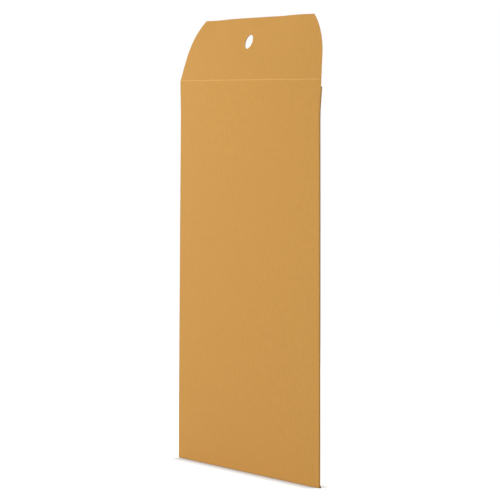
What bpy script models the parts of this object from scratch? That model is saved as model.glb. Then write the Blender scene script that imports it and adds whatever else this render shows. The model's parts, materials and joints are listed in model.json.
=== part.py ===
"""Kraft clasp envelope, open end, standing on its bottom fold with the seal flap open and leaning back.

Metres, +Z up. X runs across the envelope, the address face looks along -Y and the clasp is on the +Y side.
The origin is the middle of the bottom fold, on the surface that the envelope stands on.
Every sheet is a flat panel of the folded blank first. The slightly open mouth then bows the front panel
forward and the back panels backward, so each sheet is a grid that a surface function puts in place.
"""

import math

import bmesh
import bpy
from mathutils import Matrix, Vector

MM = 0.001

# The folded envelope
WIDTH = 228.6 * MM
HEIGHT = 304.8 * MM  # bottom fold to the score of the seal flap
PAPER = 0.16 * MM
GLUE = 0.06 * MM
LAYER_GAP = 0.12 * MM  # air between neighbouring layers
EDGE_GAP = 0.1 * MM  # air where two panels of the blank meet at a fold
POCKET_GAP = 0.7 * MM  # room between front and back along the side folds

# The open mouth
FRONT_BOW = 8.0 * MM  # how far the middle of the score stands forward
MOUTH_POWER = 1.4  # 1 opens evenly from the bottom flap up, more keeps the foot flat for longer

# Back panels, lapped at the seam
SEAM_OFFSET = 26.0 * MM  # the seam lies this far to the -X side of the middle, clear of the clasp
SEAM_LAP = 16.0 * MM
SEAM_GLUE_WIDTH = 10.0 * MM
SEAM_STEP = 12.0 * MM  # the outer panel climbs onto the inner one over this width
SEAM_STEP_CLEAR = 1.0 * MM  # flat part of the step before the inner panel's edge
THROAT = 6.0 * MM  # the back stops this far under the score at the side folds
THROAT_DIP = 7.0 * MM  # and this much lower in the middle
BACK_FOOT = 2.0 * MM

# Bottom flap, folded up over the back panels and glued
BOTTOM_FLAP_HEIGHT = 34.0 * MM
BOTTOM_FLAP_INSET = 3.0 * MM  # drawn in from the side folds just above the bottom fold
BOTTOM_FLAP_INSET_RISE = 11.0 * MM
BOTTOM_FLAP_TAPER = 16.0 * MM
BOTTOM_FLAP_CORNER = 7.0 * MM
BOTTOM_FOLD_RADIUS = 0.5 * MM
BOTTOM_GLUE_HEIGHT = 14.0 * MM
BOTTOM_GLUE_MARGIN = 4.0 * MM

# Seal flap
FLAP_DEPTH = 49.4 * MM
FLAP_LEAN = math.radians(11.6)
FLAP_CURL = 0.9 * MM
FLAP_TIP_BOW = 3.0 * MM
FLAP_SIDE_ANGLE = math.radians(13.8)
FLAP_SIDE_STRAIGHT = 17.5 * MM
FLAP_CORNER_ANGLE = math.radians(53)
SCORE_BELOW = 1.2 * MM
SCORE_ABOVE = 2.4 * MM
SCORE_RIDGE = 0.12 * MM
CLOSED_TUCK = math.radians(1.5)  # the closed flap tucks in this much past upright
CLOSING_GAP = 0.35 * MM  # closed flap to the seam
HOLE_DIAMETER = 11.0 * MM
EYELET_PATCH_WIDTH = 32.0 * MM
EYELET_PATCH_HEIGHT = 19.0 * MM
GUM_TO_PATCH = 0.6 * MM  # bare paper between the gum and the patch round the hole
GUM_HEIGHT = 7.5 * MM
GUM_MARGIN = 1.6 * MM  # bare paper above the gum
GUM_SIDE_MARGIN = 5.0 * MM

# Clasp
METAL = 0.3 * MM
PRONG_WIDTH = 5.0 * MM
PRONG_LENGTH = 10.5 * MM
PRONG_SPACING = 2.4 * MM
PRONG_ROOT_GAP = 0.15 * MM
PRONG_CLEARANCE = 0.3 * MM  # flat prong to the closed flap under it
CLASP_ABOVE_HOLE = 1.6 * MM  # the hole swings in from above, so the clasp sits a little high in it
CLASP_RIM = 2.4 * MM  # width of the clasp base around its windows
CLASP_BAR_MARGIN = 0.6 * MM  # bar between the windows, past each neck
CLASP_CORNER = 1.2 * MM
CLASP_SEAT_GAP = 0.15 * MM
SLIT_CLEARANCE = 0.35 * MM
WINDOW_CLEARANCE = 0.3 * MM
CUTTER_REACH = 2.0 * MM  # how far a straight cutter runs past the sheet on each side
CLASP_PATCH_MARGIN = 9.0 * MM
CLASP_PATCH_RAMP = 5.0 * MM
CLASP_PATCH_SHELF = 1.2 * MM  # flat rim over the base before the patch runs down to the panel

# Facets
COLUMN_STEP = 11.0 * MM
ROW_STEP = 26.0 * MM
FOLD_SEGMENTS = 6
SIDE_ROWS = 4
CORNER_ROWS = 10
HOLE_SEGMENTS = 40
TIP_SEGMENTS = 16
STEP_COLUMNS = 6
PATCH_STEP = 1.7 * MM
WELD = 0.001 * MM
EMPTY_SIZE = 5.0 * MM

# Colours
KRAFT = (0.62, 0.33, 0.10)
KRAFT_PATCH = (0.58, 0.31, 0.10)
DRY_GLUE = (0.78, 0.66, 0.42)
DRY_GUM = (0.60, 0.36, 0.13)
TINNED_STEEL = (0.72, 0.70, 0.62)

# Layers of the flat stack, as the mid-plane of each sheet along Y
seam_lift = PAPER + 2 * LAYER_GAP + GLUE
stack = PAPER + POCKET_GAP + 3 * PAPER + 2 * (2 * LAYER_GAP + GLUE)
front_y = (PAPER - stack) / 2
back_y = front_y + PAPER + POCKET_GAP
bottom_flap_y = (stack - PAPER) / 2
side_fold_radius = (back_y - front_y) / 2
panel_half = WIDTH / 2 - side_fold_radius - PAPER / 2

# From the flap's top edge down: bare edge, gum, and the patch with the hole in its middle
gum_top = FLAP_DEPTH - GUM_MARGIN
gum_foot = gum_top - GUM_HEIGHT
hole_reach = gum_foot - GUM_TO_PATCH - EYELET_PATCH_HEIGHT / 2

# The flap turns on the mid-plane of the envelope. Closed, it lies along the back's bow at its middle.
flap_reach = FLAP_DEPTH * math.sin(FLAP_LEAN) + FRONT_BOW - FLAP_TIP_BOW + FLAP_CURL
middle_lean = math.atan2(flap_reach, FLAP_DEPTH * math.cos(FLAP_LEAN))
close_angle = math.pi + CLOSED_TUCK - middle_lean
closed_stack = PAPER + LAYER_GAP + PAPER + seam_lift + CLOSING_GAP
back_bow = (front_y - FRONT_BOW) * math.cos(close_angle) - back_y - closed_stack


def spread(start, stop, step):
    """Evenly spaced stations from start to stop, no further apart than step."""
    count = max(1, math.ceil(abs(stop - start) / step - 1e-6))
    return [start + (stop - start) * i / count for i in range(count + 1)]


def smooth(share):
    """0 to 1 with flat ends."""
    share = min(1.0, max(0.0, share))
    return share * share * (3 - 2 * share)


def crown(x):
    """The bow across the width: 1 in the middle, 0 at the side folds."""
    return max(0.0, 1 - (x / panel_half) ** 2)


def gape(z):
    """The bow up the height: 0 along the glued bottom flap, 1 at the score."""
    share = (z - BOTTOM_FLAP_HEIGHT) / (HEIGHT - BOTTOM_FLAP_HEIGHT)
    return max(0.0, share) ** MOUTH_POWER


def front_surface(x, z):
    return Vector((x, front_y - FRONT_BOW * crown(x) * gape(z), z))


def back_surface(x, z, lift=0.0):
    return Vector((x, back_y + lift + back_bow * crown(x) * gape(z), z))


def flap_surface(x, reach, lift=0.0):
    """A point of the open flap: x across, reach up from the score, lift off its inner (+Y) face."""
    share = reach / FLAP_DEPTH
    bow = FRONT_BOW + (FLAP_TIP_BOW - FRONT_BOW) * share
    up = Vector((0, math.sin(FLAP_LEAN), math.cos(FLAP_LEAN)))
    inward = Vector((0, math.cos(FLAP_LEAN), -math.sin(FLAP_LEAN)))
    foot = Vector((x, front_y - bow * crown(x) + FLAP_CURL * share * share, HEIGHT))
    return foot + up * reach + inward * lift


def flap_half_width(reach):
    """Half the flap's width: straight slanting shoulders, then an arc into the top corners."""
    slope = math.tan(FLAP_SIDE_ANGLE)
    if reach <= FLAP_SIDE_STRAIGHT:
        return panel_half - slope * max(0.0, reach)
    arc_rise = FLAP_DEPTH - FLAP_SIDE_STRAIGHT
    radius = arc_rise / (math.sin(FLAP_CORNER_ANGLE) - math.sin(FLAP_SIDE_ANGLE))
    turn = math.asin(math.sin(FLAP_SIDE_ANGLE) + (reach - FLAP_SIDE_STRAIGHT) / radius)
    arc_inset = radius * (math.cos(FLAP_SIDE_ANGLE) - math.cos(turn))
    return panel_half - slope * FLAP_SIDE_STRAIGHT - arc_inset


def closed(point):
    """Where a point of the open flap lies once the flap is shut."""
    hinge = Vector((0, 0, HEIGHT))
    return hinge + Matrix.Rotation(-close_angle, 3, "X") @ (point - hinge)


def finish(name, colour, roughness, metallic=0.0):
    made = bpy.data.materials.new(name)
    made.use_nodes = True
    shader = made.node_tree.nodes["Principled BSDF"]
    shader.inputs["Base Color"].default_value = (*colour, 1)
    shader.inputs["Roughness"].default_value = roughness
    shader.inputs["Metallic"].default_value = metallic
    return made


def keep(part, collection, material, parent=None):
    """Puts a part in its collection, with its material and the empty that carries it."""
    collection.objects.link(part)
    part.data.materials.append(material)
    if parent:
        part.parent = parent
        part.matrix_parent_inverse = parent.matrix_world.inverted()
    return part


def pivot(name, collection, place, tilt=0.0):
    """An empty on a joint's axis, or at the seat of a group."""
    empty = bpy.data.objects.new(name, None)
    empty.empty_display_size = EMPTY_SIZE
    empty.location = place
    empty.rotation_euler = (tilt, 0, 0)
    collection.objects.link(empty)
    bpy.context.view_layer.update()
    return empty


def sheet(name, columns, rows, surface, thickness=PAPER):
    """A thin sheet: a grid of columns by rows laid on a surface function, then given its thickness."""
    net = bmesh.new()
    bmesh.ops.create_grid(net, x_segments=len(columns) - 1, y_segments=len(rows) - 1, size=1)
    for vert in net.verts:
        column = columns[round((vert.co.x + 1) / 2 * (len(columns) - 1))]
        row = rows[round((vert.co.y + 1) / 2 * (len(rows) - 1))]
        vert.co = surface(column, row)
    mesh = bpy.data.meshes.new(name)
    net.to_mesh(mesh)
    net.free()
    mesh.shade_smooth()
    part = bpy.data.objects.new(name, mesh)
    wall = part.modifiers.new("thickness", "SOLIDIFY")
    wall.thickness = thickness
    wall.offset = 0
    wall.use_even_offset = True
    return part


def block(name, size, centre):
    """A plain rectangular block."""
    solid = bmesh.new()
    bmesh.ops.create_cube(solid, size=1)
    bmesh.ops.scale(solid, vec=size, verts=solid.verts)
    bmesh.ops.translate(solid, vec=centre, verts=solid.verts)
    mesh = bpy.data.meshes.new(name)
    solid.to_mesh(mesh)
    solid.free()
    return bpy.data.objects.new(name, mesh)


def cutter_of(tool, collection):
    """Keeps a cutting shape out of the picture."""
    tool.display_type = "WIRE"
    tool.hide_render = True
    collection.objects.link(tool)
    return tool


def boolean(part, tool, operation):
    step = part.modifiers.new(operation.lower(), "BOOLEAN")
    step.operation = operation
    step.object = tool
    step.solver = "EXACT"


def flat_tab(name, outline, thickness):
    """A stamped tab: a closed 2D outline filled on both sides, as a welded mesh lying in XY."""
    curve = bpy.data.curves.new(name, "CURVE")
    curve.dimensions = "2D"
    curve.fill_mode = "BOTH"
    curve.extrude = thickness / 2
    spline = curve.splines.new("POLY")
    spline.points.add(len(outline) - 1)
    for point, (x, y) in zip(spline.points, outline):
        point.co = (x, y, 0, 1)
    spline.use_cyclic_u = True
    drawn = bpy.data.objects.new(name + "_outline", curve)
    bpy.context.scene.collection.objects.link(drawn)
    graph = bpy.context.evaluated_depsgraph_get()
    mesh = bpy.data.meshes.new_from_object(drawn.evaluated_get(graph))
    bpy.data.objects.remove(drawn)
    weld = bmesh.new()
    weld.from_mesh(mesh)
    bmesh.ops.remove_doubles(weld, verts=weld.verts, dist=WELD)
    bmesh.ops.recalc_face_normals(weld, faces=weld.faces)
    weld.to_mesh(mesh)
    weld.free()
    return bpy.data.objects.new(name, mesh)


def fold_stations(side):
    """Stations round a side fold, from the front panel's edge to the back, as flat-state (x, y)."""
    centre_y = (front_y + back_y) / 2
    found = []
    for i in range(FOLD_SEGMENTS + 1):
        turn = math.pi * (i / FOLD_SEGMENTS - 0.5)
        x = panel_half + side_fold_radius * math.cos(turn)
        found.append((side * x, centre_y + side_fold_radius * math.sin(turn)))
    return found


def back_rows():
    return spread(0, 1, ROW_STEP / HEIGHT)


def throat_height(x):
    """Top edge of the back panels: a shallow dip below the score."""
    return HEIGHT - THROAT - THROAT_DIP * crown(x)


def back_height(x, share):
    return BACK_FOOT + share * (throat_height(x) - BACK_FOOT)


def front_panel():
    edge = panel_half - EDGE_GAP
    foot = BOTTOM_FOLD_RADIUS + PAPER / 2 + EDGE_GAP
    rows = spread(foot, BOTTOM_FLAP_HEIGHT, ROW_STEP)
    rows += spread(BOTTOM_FLAP_HEIGHT, HEIGHT - SCORE_BELOW, ROW_STEP)[1:]
    return sheet("front_panel", spread(-edge, edge, COLUMN_STEP), rows, front_surface)


def flap_score():
    """The creased band that bends when the flap turns, with its pressed ridge along the score."""
    edge = panel_half - EDGE_GAP
    reaches = [EDGE_GAP - SCORE_BELOW, -SCORE_BELOW / 2, 0.0, SCORE_ABOVE / 2, SCORE_ABOVE - EDGE_GAP]

    def surface(share, reach):
        x = share * min(edge, flap_half_width(reach))
        if reach < 0:
            return front_surface(x, HEIGHT + reach)
        return flap_surface(x, reach) - Vector((0, SCORE_RIDGE if reach == 0 else 0, 0))

    return sheet("flap_score", spread(-1, 1, COLUMN_STEP / edge), reaches, surface)


def right_back_panel(cutters, clasp_seat):
    """The inner back panel with its side fold. It reaches past the middle, under the seam."""
    seam_edge = -SEAM_OFFSET - SEAM_LAP / 2
    folded = fold_stations(1)
    flat = [(x, back_y) for x in spread(panel_half, seam_edge, COLUMN_STEP)][1:]

    def surface(column, share):
        x, y = column
        z = back_height(x, share)
        return back_surface(x, z) + Vector((0, y - back_y, 0))

    part = sheet("right_back_panel", folded + flat, back_rows(), surface)
    opening = PRONG_SPACING + METAL + 2 * SLIT_CLEARANCE
    slot_size = (opening, PAPER + 2 * CUTTER_REACH, PRONG_WIDTH + 2 * SLIT_CLEARANCE)
    slot = block("clasp_slit", slot_size, clasp_seat)
    boolean(part, cutter_of(slot, cutters), "DIFFERENCE")
    return part


def left_back_panel():
    """The outer back panel with its side fold. It steps up onto the inner one and is glued there."""
    seam_edge = -SEAM_OFFSET + SEAM_LAP / 2
    step_end = -SEAM_OFFSET - SEAM_LAP / 2 - SEAM_STEP_CLEAR
    step_start = step_end - SEAM_STEP
    stations = spread(-panel_half, step_start, COLUMN_STEP)[1:]
    stations += spread(step_start, step_end, SEAM_STEP / STEP_COLUMNS)[1:]
    stations += spread(step_end, seam_edge, COLUMN_STEP)[1:]
    flat = [(x, back_y) for x in stations]

    def surface(column, share):
        x, y = column
        lift = seam_lift * smooth((x - step_start) / SEAM_STEP)
        return back_surface(x, back_height(x, share), lift) + Vector((0, y - back_y, 0))

    return sheet("left_back_panel", fold_stations(-1) + flat, back_rows(), surface)


def seam_glue():
    half = SEAM_GLUE_WIDTH / 2
    columns = spread(-SEAM_OFFSET - half, -SEAM_OFFSET + half, COLUMN_STEP / 2)

    def surface(x, share):
        margin = SEAM_GLUE_WIDTH / 2 * (1 - 2 * share)
        return back_surface(x, back_height(x, share) + margin, seam_lift / 2)

    return sheet("seam_glue", columns, back_rows(), surface, GLUE)


def bottom_flap_half(z):
    """Half the bottom flap's width: tapered sides with round top corners."""
    drawn_in = BOTTOM_FLAP_INSET * smooth(z / BOTTOM_FLAP_INSET_RISE)
    half = panel_half - drawn_in - BOTTOM_FLAP_TAPER * z / BOTTOM_FLAP_HEIGHT
    into_corner = z - (BOTTOM_FLAP_HEIGHT - BOTTOM_FLAP_CORNER)
    if into_corner > 0:
        half -= BOTTOM_FLAP_CORNER - math.sqrt(max(0.0, BOTTOM_FLAP_CORNER**2 - into_corner**2))
    return half


def bottom_flap():
    """The bottom flap and the pressed fold that the envelope stands on, a U with a flat floor."""
    profile = []
    for side_y, turns in ((front_y, (0, 1)), (bottom_flap_y, (1, 0))):
        inward = BOTTOM_FOLD_RADIUS * (1 if side_y < 0 else -1)
        for i in range(FOLD_SEGMENTS // 2 + 1):
            share = turns[0] + (turns[1] - turns[0]) * 2 * i / FOLD_SEGMENTS
            turn = share * math.pi / 2
            y = side_y + inward * (1 - math.cos(turn))
            profile.append((y, PAPER / 2 + BOTTOM_FOLD_RADIUS * (1 - math.sin(turn))))
    body_top = BOTTOM_FLAP_HEIGHT - BOTTOM_FLAP_CORNER
    heights = spread(profile[-1][1], body_top, BOTTOM_FLAP_CORNER)[1:]
    heights += spread(body_top, BOTTOM_FLAP_HEIGHT, BOTTOM_FLAP_CORNER / CORNER_ROWS)[1:]
    profile += [(bottom_flap_y, z) for z in heights]

    def surface(share, row):
        y, z = row
        half = bottom_flap_half(z) if y >= bottom_flap_y else panel_half
        return Vector((share * half, y, z))

    return sheet("bottom_flap", spread(-1, 1, COLUMN_STEP / panel_half), profile, surface)


def bottom_glue():
    """The glue line that holds the bottom flap to the back panels."""
    top = BOTTOM_FLAP_HEIGHT - BOTTOM_GLUE_MARGIN
    film_y = bottom_flap_y - PAPER / 2 - LAYER_GAP - GLUE / 2

    def surface(share, z):
        return Vector((share * (bottom_flap_half(z) - BOTTOM_GLUE_MARGIN), film_y, z))

    rows = spread(top - BOTTOM_GLUE_HEIGHT, top, BOTTOM_GLUE_HEIGHT / SIDE_ROWS)
    return sheet("bottom_glue", spread(-1, 1, COLUMN_STEP / panel_half), rows, surface, GLUE)


def hole_cutter(cutters):
    """A punch along the flap's own slope at the hole."""
    below = flap_surface(0, hole_reach - HOLE_DIAMETER / 2)
    above = flap_surface(0, hole_reach + HOLE_DIAMETER / 2)
    slope = math.atan2(above.y - below.y, above.z - below.z)
    punch = bmesh.new()
    bmesh.ops.create_cone(
        punch,
        cap_ends=True,
        segments=HOLE_SEGMENTS,
        radius1=HOLE_DIAMETER / 2,
        radius2=HOLE_DIAMETER / 2,
        depth=HOLE_DIAMETER,
    )
    bmesh.ops.rotate(punch, matrix=Matrix.Rotation(math.pi / 2 - slope, 3, "X"), verts=punch.verts)
    bmesh.ops.translate(punch, vec=flap_surface(0, hole_reach), verts=punch.verts)
    mesh = bpy.data.meshes.new("hole_punch")
    punch.to_mesh(mesh)
    punch.free()
    return cutter_of(bpy.data.objects.new("hole_punch", mesh), cutters)


def seal_flap(punch):
    rows = spread(SCORE_ABOVE, FLAP_SIDE_STRAIGHT, FLAP_SIDE_STRAIGHT / SIDE_ROWS)
    arc_step = (FLAP_DEPTH - FLAP_SIDE_STRAIGHT) / CORNER_ROWS
    rows += spread(FLAP_SIDE_STRAIGHT, FLAP_DEPTH, arc_step)[1:]

    def surface(share, reach):
        return flap_surface(share * flap_half_width(reach), reach)

    part = sheet("seal_flap", spread(-1, 1, COLUMN_STEP / panel_half), rows, surface)
    boolean(part, punch, "DIFFERENCE")
    return part


def seal_gum():
    """The dry gum band along the top edge, on the face that meets the back."""
    lift = PAPER / 2 + LAYER_GAP + GLUE / 2

    def surface(share, reach):
        return flap_surface(share * (flap_half_width(reach) - GUM_SIDE_MARGIN), reach, lift)

    rows = spread(gum_foot, gum_top, GUM_HEIGHT / SIDE_ROWS)
    return sheet("seal_gum", spread(-1, 1, COLUMN_STEP / panel_half), rows, surface, GLUE)


def eyelet_patch(punch):
    """The paper patch that stops the hole from tearing out."""
    half = EYELET_PATCH_WIDTH / 2
    low = hole_reach - EYELET_PATCH_HEIGHT / 2
    rows = spread(low, low + EYELET_PATCH_HEIGHT, EYELET_PATCH_HEIGHT / CORNER_ROWS)

    def surface(x, reach):
        return flap_surface(x, reach, PAPER + LAYER_GAP)

    part = sheet("eyelet_patch", spread(-half, half, COLUMN_STEP / 2), rows, surface)
    boolean(part, punch, "DIFFERENCE")
    return part


def clasp_sizes():
    """Bar width, window size and outer size of the clasp base: two windows, a bar and a rim all round."""
    bar = PRONG_SPACING + METAL + 2 * CLASP_BAR_MARGIN
    window = (PRONG_LENGTH + WINDOW_CLEARANCE, PRONG_WIDTH + 2 * WINDOW_CLEARANCE)
    return bar, window, (bar + 2 * window[0] + 2 * CLASP_RIM, window[1] + 2 * CLASP_RIM)


def clasp_depth(seat):
    """From the panel's middle to the middle of the flat base, which the bowed panel touches at its ends."""
    half = clasp_sizes()[2][0] / 2
    drop = seat.y - back_surface(half, seat.z).y
    return PAPER / 2 + drop + CLASP_SEAT_GAP + METAL / 2


def clasp_base(cutters, seat, prong_height):
    """The stamped base inside the back, its prongs lanced out of two windows and turned up at the bar.

    Built with the panel's mid-plane at y = 0 and +Y outwards.
    """
    bar, window, size = clasp_sizes()
    level = -clasp_depth(seat)
    part = block("clasp_base", (size[0], METAL, size[1]), (0, level, 0))
    rounding = part.modifiers.new("round corners", "BEVEL")
    rounding.width = CLASP_CORNER
    rounding.segments = FOLD_SEGMENTS
    rounding.limit_method = "ANGLE"
    rounding.affect = "VERTICES"
    for side, word in ((-1, "left"), (1, "right")):
        centre = (side * (bar + window[0]) / 2, level, 0)
        gap = block(word + "_window", (window[0], METAL + 2 * CUTTER_REACH, window[1]), centre)
        boolean(part, cutter_of(gap, cutters), "DIFFERENCE")
        neck_top = prong_height - METAL / 2 - PRONG_ROOT_GAP
        neck_size = (METAL, neck_top - level, PRONG_WIDTH)
        neck_centre = (side * PRONG_SPACING / 2, (neck_top + level) / 2, 0)
        neck = block(word + "_neck", neck_size, neck_centre)
        boolean(part, cutter_of(neck, cutters), "UNION")
    return part


def prong(word):
    """One prong, standing straight out, with a round tip. It turns about the edge nearest the neck."""
    straight = PRONG_LENGTH - PRONG_WIDTH / 2
    outline = [(0, -PRONG_WIDTH / 2)]
    for i in range(TIP_SEGMENTS + 1):
        turn = math.pi * (i / TIP_SEGMENTS - 0.5)
        along = straight + PRONG_WIDTH / 2 * math.cos(turn)
        outline.append((along, PRONG_WIDTH / 2 * math.sin(turn)))
    outline.append((0, PRONG_WIDTH / 2))
    part = flat_tab(word + "_prong", outline, METAL)
    stand_up = Matrix.Rotation(math.pi / 2, 4, "Z") @ Matrix.Rotation(math.pi / 2, 4, "X")
    part.data.transform(stand_up)
    return part


def clasp_patch(seat):
    """The paper patch glued over the clasp base inside the pocket, drawn down to the panel at its rim."""
    size = clasp_sizes()[2]
    half_x = size[0] / 2 + CLASP_PATCH_MARGIN
    half_z = size[1] / 2 + CLASP_PATCH_MARGIN
    rim_depth = PAPER + LAYER_GAP
    middle_depth = clasp_depth(seat) + METAL / 2 + LAYER_GAP + PAPER / 2

    def surface(x, z):
        past = max(abs(x) - size[0] / 2, abs(z) - size[1] / 2, 0.0)
        over = 1 - smooth((past - CLASP_PATCH_SHELF) / CLASP_PATCH_RAMP)
        depth = rim_depth + (middle_depth - rim_depth) * over
        return back_surface(x, seat.z + z, -depth)

    columns = spread(-half_x, half_x, PATCH_STEP)
    return sheet("clasp_patch", columns, spread(-half_z, half_z, PATCH_STEP), surface)


def build():
    for old in list(bpy.data.objects):
        bpy.data.objects.remove(old)
    envelope = bpy.data.collections.new("clasp_envelope")
    cutters = bpy.data.collections.new("cutters")
    bpy.context.scene.collection.children.link(envelope)
    bpy.context.scene.collection.children.link(cutters)
    kraft = finish("kraft paper", KRAFT, 0.75)
    patch = finish("patch paper", KRAFT_PATCH, 0.75)
    glue = finish("dry glue", DRY_GLUE, 0.5)
    gum = finish("dry gum", DRY_GUM, 0.35)
    steel = finish("tinned steel", TINNED_STEEL, 0.35, 1.0)

    # The hole's place on the shut envelope fixes the clasp's
    hole_shut = closed(flap_surface(0, hole_reach, -PAPER / 2))
    seat = back_surface(0, hole_shut.z + CLASP_ABOVE_HOLE)
    step = HOLE_DIAMETER / 2
    rise = back_surface(0, seat.z + step).y - back_surface(0, seat.z - step).y
    tilt = -math.atan2(rise, 2 * step)
    prong_height = hole_shut.y - seat.y + PRONG_CLEARANCE + METAL / 2

    for panel in (front_panel(), left_back_panel(), right_back_panel(cutters, seat), bottom_flap()):
        keep(panel, envelope, kraft)
    keep(flap_score(), envelope, kraft)
    keep(seam_glue(), envelope, glue)
    keep(bottom_glue(), envelope, glue)

    flap_hinge = pivot("flap_hinge", envelope, (0, 0, HEIGHT))
    punch = hole_cutter(cutters)
    keep(seal_flap(punch), envelope, kraft, flap_hinge)
    keep(seal_gum(), envelope, gum, flap_hinge)
    keep(eyelet_patch(punch), envelope, patch, flap_hinge)

    clasp = pivot("clasp_seat", envelope, seat, tilt)
    base = clasp_base(cutters, seat, prong_height)
    keep(base, envelope, steel)
    base.matrix_world = clasp.matrix_world
    for tool in [step.object for step in base.modifiers if step.type == "BOOLEAN"]:
        tool.matrix_world = clasp.matrix_world
    for word, side in (("left", -1), ("right", 1)):
        root = clasp.matrix_world @ Vector((side * PRONG_SPACING / 2, prong_height, 0))
        hinge = pivot(word + "_prong_hinge", envelope, root, tilt)
        tab = prong(word)
        keep(tab, envelope, steel)
        tab.parent = hinge
    keep(clasp_patch(seat), envelope, patch)

    bpy.context.view_layer.update()
    axis = clasp.matrix_world.to_3x3() @ Vector((0, 0, 1))
    print(f"flap closes through {math.degrees(close_angle):.2f} degrees, back bow {back_bow / MM:.2f} mm")
    print("clasp seat", [round(v / MM, 3) for v in seat], "prong axis", [round(v, 5) for v in axis])
    for word in ("left", "right"):
        place = bpy.data.objects[word + "_prong_hinge"].matrix_world.translation
        print(word, "prong hinge", [round(v / MM, 4) for v in place])
    hole = flap_surface(0, hole_reach)
    print("flap hole centre", [round(v / MM, 3) for v in hole])


build()
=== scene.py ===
# %% [markdown]
# Kraft clasp envelope
#
# A document envelope is one die-cut sheet of brown paper, folded and glued into a flat pocket. A
# flap closes its mouth, and a metal clasp on the back holds the flap. Here it stands on its bottom
# fold with the flap open. Such a thing could be modelled by eye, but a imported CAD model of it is
# ready and comes in first, as a fixed frame. That gives the outer sizes and the bodies that move,
# so every new piece is laid where its CAD solid is.

# %% Load the CAD frame
import json
import math

import bmesh
import bpy
from mathutils import Matrix, Vector


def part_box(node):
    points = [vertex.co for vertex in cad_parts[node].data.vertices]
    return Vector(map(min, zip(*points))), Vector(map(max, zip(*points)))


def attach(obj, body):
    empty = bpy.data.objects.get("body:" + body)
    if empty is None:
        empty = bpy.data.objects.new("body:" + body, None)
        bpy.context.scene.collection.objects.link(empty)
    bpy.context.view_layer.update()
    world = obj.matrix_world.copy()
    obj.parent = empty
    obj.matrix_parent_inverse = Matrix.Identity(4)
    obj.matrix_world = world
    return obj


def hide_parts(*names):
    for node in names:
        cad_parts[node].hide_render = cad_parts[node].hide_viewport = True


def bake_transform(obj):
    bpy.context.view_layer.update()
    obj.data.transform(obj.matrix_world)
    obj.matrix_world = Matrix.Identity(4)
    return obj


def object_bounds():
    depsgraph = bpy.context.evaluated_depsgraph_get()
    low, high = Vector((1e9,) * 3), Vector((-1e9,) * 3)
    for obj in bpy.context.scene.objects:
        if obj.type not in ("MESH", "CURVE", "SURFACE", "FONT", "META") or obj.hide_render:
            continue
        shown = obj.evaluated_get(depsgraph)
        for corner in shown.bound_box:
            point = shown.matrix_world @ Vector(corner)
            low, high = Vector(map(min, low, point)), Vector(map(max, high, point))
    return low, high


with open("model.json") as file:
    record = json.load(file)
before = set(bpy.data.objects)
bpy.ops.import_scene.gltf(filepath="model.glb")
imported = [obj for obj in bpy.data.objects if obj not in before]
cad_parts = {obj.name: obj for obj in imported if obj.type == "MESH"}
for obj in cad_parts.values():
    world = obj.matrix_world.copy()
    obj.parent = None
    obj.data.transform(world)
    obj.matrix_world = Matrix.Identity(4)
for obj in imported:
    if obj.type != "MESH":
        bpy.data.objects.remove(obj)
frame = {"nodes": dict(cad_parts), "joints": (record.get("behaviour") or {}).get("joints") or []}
cad_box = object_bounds()
print("nodes", sorted(frame["nodes"]))
print("CAD box", [tuple(round(v, 4) for v in corner) for corner in cad_box])

# %% [markdown]
# A fold in paper is tight: its radius is about half the gap between the two walls that it joins.
# The width, the height of the score and the place of the bottom fold are read from the frame, so
# they can't drift away from the CAD model. What the frame doesn't name, such as the thickness of
# the paper, is written once, in metres, in the cell that first needs it.

# %% Sizes of the pocket
MM = 0.001
PAPER = 0.16 * MM
POCKET_GAP = 0.7 * MM  # room between front and back along the side folds
joints = {joint["name"]: joint for joint in frame["joints"]}
score_height = joints["flap_fold"]["pos_m"][2]
width = cad_box[1].x - cad_box[0].x
bottom_low, bottom_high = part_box("bottom_flap")
bottom_flap_height = bottom_high.z
front_y = bottom_low.y + PAPER / 2
back_y = front_y + PAPER + POCKET_GAP
fold_radius = (back_y - front_y) / 2
fold_length = math.pi * fold_radius
panel_half = width / 2 - fold_radius - PAPER / 2
print(f"body {width / MM:.1f} x {score_height / MM:.1f} mm, front {2 * panel_half / MM:.1f} mm wide")

# %% [markdown]
# The front bows forward and the back bows backward, most at the mouth and not at all along the
# glued bottom flap. A cloth simulation could find such a shape, but paper hardly stretches, and a
# few short formulas bend a flat sheet just as well, to the shape that the CAD solids have.

# %% Formulas for the mouth
FRONT_BOW = 8.0 * MM  # the middle of the score stands this far forward of the side folds
BACK_BOW = 7.3 * MM  # and the middle of the back this far backward
MOUTH_POWER = 1.4  # more than 1 keeps the foot of the pocket flat for longer


def smooth(share):
    """0 to 1 with flat ends."""
    share = min(1.0, max(0.0, share))
    return share * share * (3 - 2 * share)


def crown(x):
    """The bow across the width: 1 in the middle, 0 at the side folds."""
    return max(0.0, 1 - (x / panel_half) ** 2)


def risen(z):
    """The share of the height: 0 along the bottom flap, 1 at the score."""
    return max(0.0, (z - bottom_flap_height) / (score_height - bottom_flap_height))


def gape(z):
    """The bow up the height: 0 along the bottom flap, 1 at the score."""
    return risen(z) ** MOUTH_POWER


def drawn_in(x, bow):
    """A bowed sheet keeps its length, so its sides come in a little."""
    return x * (1 - 2 / 3 * (bow / panel_half) ** 2)


print(f"at the score the side folds come in by {(1 - drawn_in(1, FRONT_BOW)) * panel_half / MM:.2f} mm")

# %% [markdown]
# No folded paper is quite true. The right side leans a little forward and the left side backward,
# and the open flap draws both upper corners back. Noise could push the sheet about, but it would
# look crumpled. Two smooth terms keep it crisp: the first grows with the height and gives way to
# the second near the score.

# %% Formulas for the front and the back
TWIST = 1.2 * MM  # the right side leans forward by up to this much, the left side backward
SET_BACK = 0.5 * MM  # the flap draws both upper corners back by this much
HELD_TOP = 30.0 * MM  # over this height below the score


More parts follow.
